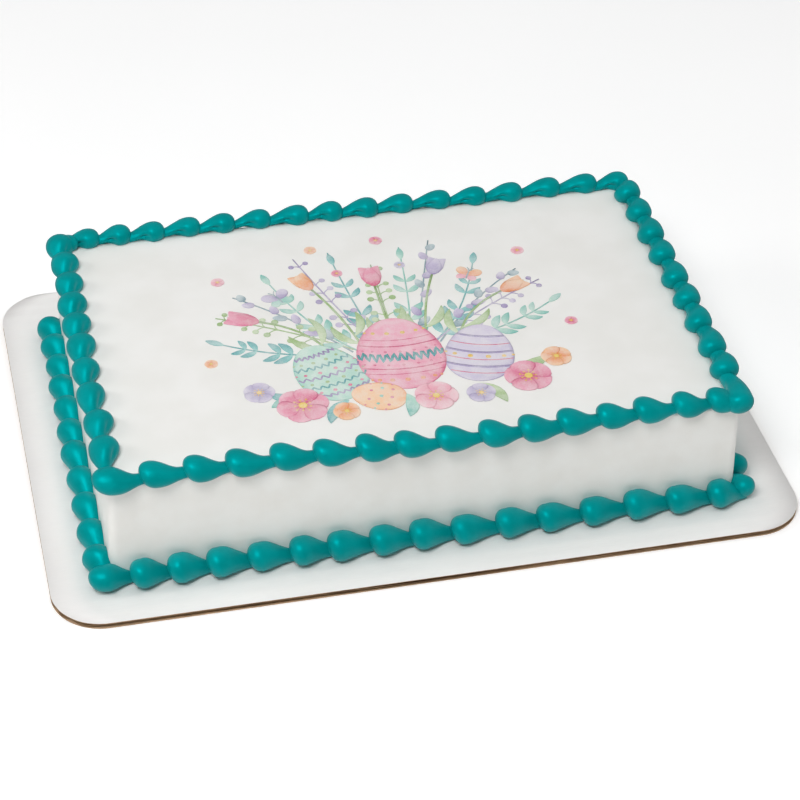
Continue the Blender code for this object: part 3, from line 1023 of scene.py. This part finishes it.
def head_places(run, draw):
    """The middles of the heads: one on the corner, the others spaced by a rule with a small draw."""
    share = np.arange(run.drops - 1) / (run.drops - 2)
    rest = run.second + (run.last - run.second) * (share + run.opening * share * (share - 1.0))
    rest = rest * MM + draw.uniform(-SPACING_JITTER, SPACING_JITTER, run.drops - 1)
    return np.concatenate(([run.first * MM], rest))


# %% The swell of one drop
AROUND = 40
HEAD_RINGS = 13
TAIL_RINGS = 26
TUCK_RINGS = 5
TUCK = 4.0 * MM
RING_TURNS = -np.linspace(0.0, 2.0 * math.pi, AROUND, endpoint=False)[None, :]


def fall(share, straight):
    """From one to nothing down the tail: half a cosine, mixed with a quarter one that ends steeper."""
    half_cosine = 0.5 + 0.5 * np.cos(math.pi * share)
    return (1.0 - straight) * half_cosine + straight * np.cos(math.pi / 2 * share)


def drop_rings(length, neck, straight, head_length):
    """Where one drop has rings, how wide it is there, and how far down the tail each ring is.

    The head is a blunt quarter ellipse up to full width: the shares of its length and its width, each
    to the power of its bluntness, add up to one. The tail falls to the neck, and its tip, which the
    next head hides, is a quarter ellipse down to nothing.
    """
    head = np.linspace(0.0, math.pi / 2, HEAD_RINGS + 1)[1:]
    share = np.linspace(0.0, 1.0, TAIL_RINGS + 1)[1:]
    tip = np.linspace(0.0, math.pi / 2, TUCK_RINGS + 1)[1:-1]
    head_reach = 1.0 - np.cos(head) ** (2.0 / HEAD_BLUNTNESS)
    head_swell = np.sin(head) ** (2.0 / HEAD_BLUNTNESS)
    along = np.concatenate((-HEAD_SUNK + (head_length + HEAD_SUNK) * head_reach,
                            head_length + (length - head_length) * share,
                            length + TUCK * np.sin(tip)))
    tail_swell = neck + (1.0 - neck) * fall(share, straight)
    swell = np.concatenate((head_swell, tail_swell, neck * np.cos(tip)))
    tail = np.concatenate((np.zeros(HEAD_RINGS), share, np.ones(TUCK_RINGS - 1)))
    return along, swell, tail


# %% [markdown]
# A drop isn't the same all round. The bag leans outwards over the cake's edge, so the tail is drawn
# along the outer side and the head's inner side is left behind as a fuller lobe that ends sooner. A
# groove runs between the lobe and the ridge of the tail. The hand changes a little from side to side
# of the cake, so each side has its own values: the back's drops are slim with a deep fold, those on
# the right lean out most, and the heads along the front are tilted back. At the foot the tails sink
# into the corner between the wall and the board.

# %% The shape of one drop
Border = namedtuple("Border", "half_width half_height neck line_out line_up seat shift sag lean tilt "
                              "straight lobe groove groove_turn keel keel_turn")
TOP_BORDER = Border(half_width=6.95 * MM, half_height=6.2 * MM, neck=0.42, line_out=-0.2 * MM,
                    line_up=BOARD_THICKNESS + 57.4 * MM, seat=0.0, shift=0.0, sag=0.9 * MM,
                    lean=0.6 * MM, tilt=0.33, straight=0.40, lobe=0.35, groove=0.30 * MM,
                    groove_turn=160.0, keel=0.30 * MM, keel_turn=112.0)
TOP_BORDERS = {
    "front": TOP_BORDER,
    "right": TOP_BORDER._replace(neck=0.52, sag=1.2 * MM, lean=1.2 * MM, tilt=0.15, straight=1.0,
                                 lobe=0.50, groove=0.80 * MM, keel=0.60 * MM, keel_turn=80.0),
    "back": TOP_BORDER._replace(half_width=6.7 * MM, half_height=5.9 * MM, neck=0.44, sag=1.6 * MM,
                                lean=-0.3 * MM, tilt=0.0, straight=0.70, lobe=1.10, groove=1.20 * MM,
                                groove_turn=169.0, keel=0.70 * MM, keel_turn=139.0),
    "left": TOP_BORDER._replace(neck=0.29, shift=-0.6 * MM, sag=1.2 * MM, lean=0.9 * MM, tilt=0.0,
                                straight=0.50, lobe=0.25, groove=0.80 * MM, groove_turn=146.0,
                                keel=0.80 * MM, keel_turn=98.0),
}
FOOT_BORDER = Border(half_width=6.8 * MM, half_height=6.8 * MM, neck=0.44, line_out=7.9 * MM,
                     line_up=BOARD_THICKNESS + 7.1 * MM, seat=1.0, shift=-0.6 * MM, sag=3.2 * MM,
                     lean=-2.4 * MM, tilt=0.17, straight=0.55, lobe=0.0, groove=0.0,
                     groove_turn=160.0, keel=0.25 * MM, keel_turn=112.0)
FOOT_BORDERS = {
    "front": FOOT_BORDER,
    "right": FOOT_BORDER._replace(shift=-1.0 * MM),
    "back": FOOT_BORDER,
    "left": FOOT_BORDER._replace(tilt=0.0),
}
CARVED_TAIL = 0.75
KEEL_WIDTH = 0.42
GROOVE_WIDTH = 0.28
LUMPS = ((2.0, 0.012), (3.0, 0.010))
LUMP_LENGTH = 5.0 * MM
LUMP_TURN = 6.3


def facing(turn, degrees, width):
    """A bell curve round the drop: one at the turn of so many degrees, near nothing past the width."""
    apart = np.angle(np.exp(1j * (turn - math.radians(degrees))))
    return np.exp(-(apart / width) ** 2)


def drop_skin(border, start, length, size, neck, head_length, side, line_length, wander, draw):
    """One drop as rings (n, AROUND, 3) and two poles, in (along the line, out, up).

    Each ring is an ellipse of half width and half height times the swell. Down the tail its middle
    sags by as much as the drop is thinner than its head, and leans by a quarter sine. A small drop at
    the foot is seated lower, by as much as its head is less high than the others. A tilt moves each
    point back along the line by a share of its height above the middle. The inner side uses a tail
    share that runs ahead, which ends its lobe sooner. The groove and the ridge are bell curves round
    the ring, and two low sine waves round it, the lumps, make no two drops alike.
    """
    drop = drop_rings(length, neck, border.straight, head_length)
    along, swell, tail = (values[:, None] for values in drop)
    turn = RING_TURNS
    inner = 0.5 - 0.5 * np.cos(turn)
    ahead = np.minimum(tail * (1.0 + border.lobe * inner ** 2), 1.0)
    straight = border.straight * (1.0 - inner * min(border.lobe, 1.0))
    own = np.where(tail > 0.0, neck + (1.0 - neck) * fall(ahead, straight), swell)
    own = np.where(tail >= 1.0, swell, own)
    thinness = np.where(tail > 0.0, (1.0 - np.maximum(swell, neck)) / (1.0 - neck), 0.0)
    window = np.sin(math.pi * np.clip(tail / CARVED_TAIL, 0.0, 1.0)) ** 2
    carve = border.keel * facing(turn, border.keel_turn, KEEL_WIDTH)
    carve = carve - border.groove * facing(turn, border.groove_turn, GROOVE_WIDTH)
    waves = [high * np.cos(beats * turn + draw.uniform(0.0, LUMP_TURN)) for beats, high in LUMPS]
    lump = 1.0 + waves[0] * np.sin(along / LUMP_LENGTH) + waves[1]
    wander_turn = 2 * math.pi * WANDER_TURNS * (start + along) / line_length
    middle_out = border.line_out + border.shift + side - wander * np.sin(wander_turn)
    middle_out = middle_out + border.lean * np.sin(math.pi / 2 * tail)
    middle_up = border.line_up + border.seat * (size - 1.0) * border.half_height - border.sag * thinness
    out = middle_out + (size * own * lump * border.half_width + carve * window) * np.cos(turn)
    up = middle_up + (size * own * lump * border.half_height + carve * window) * np.sin(turn)
    rings = np.stack((start + along - border.tilt * (up - middle_up), out, up), axis=-1)
    first = np.array((start - HEAD_SUNK, middle_out[0, 0], middle_up[0, 0]))
    last = np.array((start + length + TUCK, middle_out[-1, 0], middle_up[-1, 0]))
    return rings, first, last


# %% A whole run
Corner = namedtuple("Corner", "later out size neck head_length")
CORNERS = {
    "top_drops_front": Corner(0.6 * MM, 0.0, 1.0, 0.40, 8.2 * MM),
    "top_drops_back": Corner(0.0, -1.2 * MM, 1.0, 0.44, HEAD_LENGTH),
    "top_drops_left": Corner(1.2 * MM, 0.0, 1.0, 0.30, HEAD_LENGTH),
    "top_drops_right": Corner(-2.8 * MM, -1.6 * MM, 1.0, 0.54, HEAD_LENGTH),
    "foot_drops_front": Corner(-1.0 * MM, -0.8 * MM, 0.90, 0.44, 8.2 * MM),
    "foot_drops_right": Corner(2.0 * MM, 0.0, 0.82, 0.46, HEAD_LENGTH),
}
CURL_SHORT = 4.2 * MM
CURL_SIZE = 0.72
CURL_SIDE = -2.0 * MM
DROP_APART = 100.0
BOARD_GAP = 0.02 * MM
REST_TURN = 25.0
FRAMES = {
    "front": ((-0.5, -0.5), (1, 0), (0, -1)),
    "right": ((0.5, -0.5), (0, 1), (1, 0)),
    "back": ((0.5, 0.5), (-1, 0), (0, 1)),
    "left": ((-0.5, 0.5), (0, -1), (-1, 0)),
}


def place_on_side(points, side_name, line_out):
    """Turns (along the line, out from the wall, up) into X, Y and Z."""
    corner, ahead, outwards = FRAMES[side_name]
    reach = points[..., 0] - line_out
    x = CAKE_MIDDLE[0] + corner[0] * CAKE_LENGTH + reach * ahead[0] + points[..., 1] * outwards[0]
    y = CAKE_MIDDLE[1] + corner[1] * CAKE_DEPTH + reach * ahead[1] + points[..., 1] * outwards[1]
    return np.stack((x, y, points[..., 2]), axis=-1)


def rest_on_board(rings):
    """Lets the underside of a foot drop down onto the board, more on its inner side.

    Each ring's lower part moves down by the gap that the ring leaves above the board, in full where
    it faces down and in, and not at all where it faces sideways. Along the round head the move grows
    with the sixth power of the ring's height, so the head stays round in front.
    """
    low = rings[..., 2].min(axis=1, keepdims=True)
    high = rings[..., 2].max(axis=1, keepdims=True)
    gap = low - BOARD_THICKNESS - BOARD_GAP
    height = (high - low) / (high - low).max()
    height[HEAD_RINGS:] = 1.0
    down = np.clip(-np.sin(RING_TURNS - math.radians(REST_TURN)), 0.0, 1.0)
    lowered = rings[..., 2] - gap * height ** 6 * (down * down * (3.0 - 2.0 * down))
    rings[..., 2] = np.maximum(lowered, BOARD_THICKNESS + BOARD_GAP)
    return rings


def piped_run(name, side_name, run, border, on_board, finish):
    """All drops of one side as one piece, with each drop's own coordinates kept for its finish.

    A top run is pressed into the cake's edge, where the block hides its inner part. A foot run rests
    on the board. The back run at the top ends in a small extra curl. For the finish the drops count
    as DROP_APART millimetres apart, so that no two of them share one stretch of the pattern.
    """
    wall = CAKE_LENGTH if side_name in ("front", "back") else CAKE_DEPTH
    line_length = wall + 2.0 * border.line_out
    draw = np.random.default_rng(run.seed)
    starts = head_places(run, draw) - HEAD_LENGTH
    sizes = run.plump * (1.0 + draw.uniform(-SIZE_JITTER, SIZE_JITTER, run.drops))
    necks = border.neck * (1.0 + draw.uniform(-NECK_JITTER, NECK_JITTER, run.drops))
    sides = run.shift * MM + draw.uniform(-SIDE_JITTER, SIDE_JITTER, run.drops)
    stops = np.append(starts[1:], line_length - run.short * MM)
    corner = CORNERS.get(name, Corner(0.0, 0.0, 1.0, necks[0], HEAD_LENGTH))
    starts[0] += corner.later
    sides[0] += corner.out
    sizes[0] = run.plump * corner.size
    necks[0] = corner.neck
    head_lengths = np.full(run.drops, HEAD_LENGTH)
    head_lengths[0] = corner.head_length
    if name == "top_drops_back":
        curl = line_length - CURL_SHORT - HEAD_LENGTH
        ends = ((starts, curl), (sizes, CURL_SIZE), (necks, border.neck), (sides, CURL_SIDE),
                (head_lengths, HEAD_LENGTH))
        starts, sizes, necks, sides, head_lengths = (np.append(values, end) for values, end in ends)
        stops = np.append(starts[1:], curl + 2.0 * HEAD_LENGTH)
    fine = np.random.default_rng(run.seed + 1)
    ring_facing = np.stack((np.cos(RING_TURNS[0]), np.sin(RING_TURNS[0])), axis=-1)
    points, piping = [], []
    for i in range(len(starts)):
        length = max(stops[i] - starts[i], SHORTEST_DROP if i < run.drops else 0.0)
        rings, first, last = drop_skin(border, starts[i], length, sizes[i], necks[i], head_lengths[i],
                                       sides[i], line_length, run.wander * MM, fine)
        rings = rest_on_board(rings) if on_board else rings
        points.append(np.concatenate((rings.reshape(-1, 3), [first, last])))
        along = (points[-1][:, 0] - starts[i]) / MM + DROP_APART * i
        facing_away = np.concatenate((np.tile(ring_facing, (len(rings), 1)), np.zeros((2, 2))))
        piping.append(np.column_stack((along, facing_away)))
    quads, triangles = closed_faces(*rings.shape[:2])
    offsets = len(points[0]) * np.arange(len(starts))[:, None, None]
    placed = place_on_side(np.concatenate(points), side_name, border.line_out)
    piece = new_mesh(name, placed, (quads + offsets).reshape(-1, 4),
                     (triangles + offsets).reshape(-1, 3), (finish,))
    keep_values(piece, "piping", "FLOAT_VECTOR", "vector", piping)
    return piece


# %% [markdown]
# ## Teal icing
#
# The teal is strong: it has almost no red in it. A white shine would wash that out, so the tint of
# the reflections has no red either. The grain is fine, and on the tails it is drawn out along the
# pull, which needs each drop's own coordinates. They were stored above as an attribute.

# %% Teal icing finish
def teal_icing_finish():
    """Satin teal buttercream: two near teals mottled together, fine grain and drawn-out lines."""
    teal = patterned("teal_icing", 0.50, (0.35, 0.41), icing_grain,
                     Lump_Scale=120.0, Tooth_Scale=1600.0, Tooth_Share=0.35)
    teal.shader.inputs["Specular Tint"].default_value = (0.0, 0.90, 1.0, 1.0)
    paint(teal, teal.mask, (0.0, 0.264, 0.268), (0.0, 0.302, 0.311))
    drawn = stretched(teal.tree, point_value(teal.tree, "piping", "Vector"), (0.05, 1.0, 1.0))
    lines = noise(teal.tree, drawn, 7.0, 3.0)
    raise_bump(teal, add_share(teal.tree, teal.height, lines, 0.9), 0.10 * MM)
    return teal.material


teal_icing = teal_icing_finish()

# %% Pipe both borders
for level, edge, runs, borders in (("top", "top", TOP_RUNS, TOP_BORDERS),
                                   ("foot", "bottom", FOOT_RUNS, FOOT_BORDERS)):
    for side_name, run in runs.items():
        border_piece = piped_run(f"{level}_drops_{side_name}", side_name, run, borders[side_name],
                                 level == "foot", teal_icing)
        settle(border_piece, "teal_icing", f"{edge}_border_{side_name}")

# %% [markdown]
# ## The studio floor
#
# The floor is a plain sheet just under the board. It glows a little, as a lit white backdrop does,
# and isn't mirrored in the icing.

# %% Floor
FLOOR_SIZE = 8.0
FLOOR_POINTS = 9
FLOOR_DROP = 0.02 * MM
FLOOR_GLOW = 0.16


def floor_finish():
    """Pale studio paper with the faintest clouding."""
    material, tree, shader = new_finish("studio_paper", 0.0)
    clouds = noise(tree, object_vector(tree), 3.0, 2.0)
    colour = blend_colour(tree, spread(tree, clouds, 0.3, 0.7), (0.98, 0.98, 0.98), (1.0, 1.0, 1.0))
    tree.links.new(colour, shader.inputs["Base Color"])
    shader.inputs["Roughness"].default_value = 0.9
    shader.inputs["Emission Color"].default_value = (1.0, 1.0, 1.0, 1.0)
    shader.inputs["Emission Strength"].default_value = FLOOR_GLOW
    return material


line = np.linspace(-FLOOR_SIZE / 2, FLOOR_SIZE / 2, FLOOR_POINTS)
floor_x, floor_y = np.meshgrid(line, line)
floor_points = np.stack((floor_x, floor_y, np.full_like(floor_x, -FLOOR_DROP)), axis=-1).reshape(-1, 3)
studio_floor = new_mesh("studio_floor", floor_points, grid_quads(*floor_x.shape, False), NO_TRIANGLES,
                        (floor_finish(),))
studio_floor.visible_glossy = False
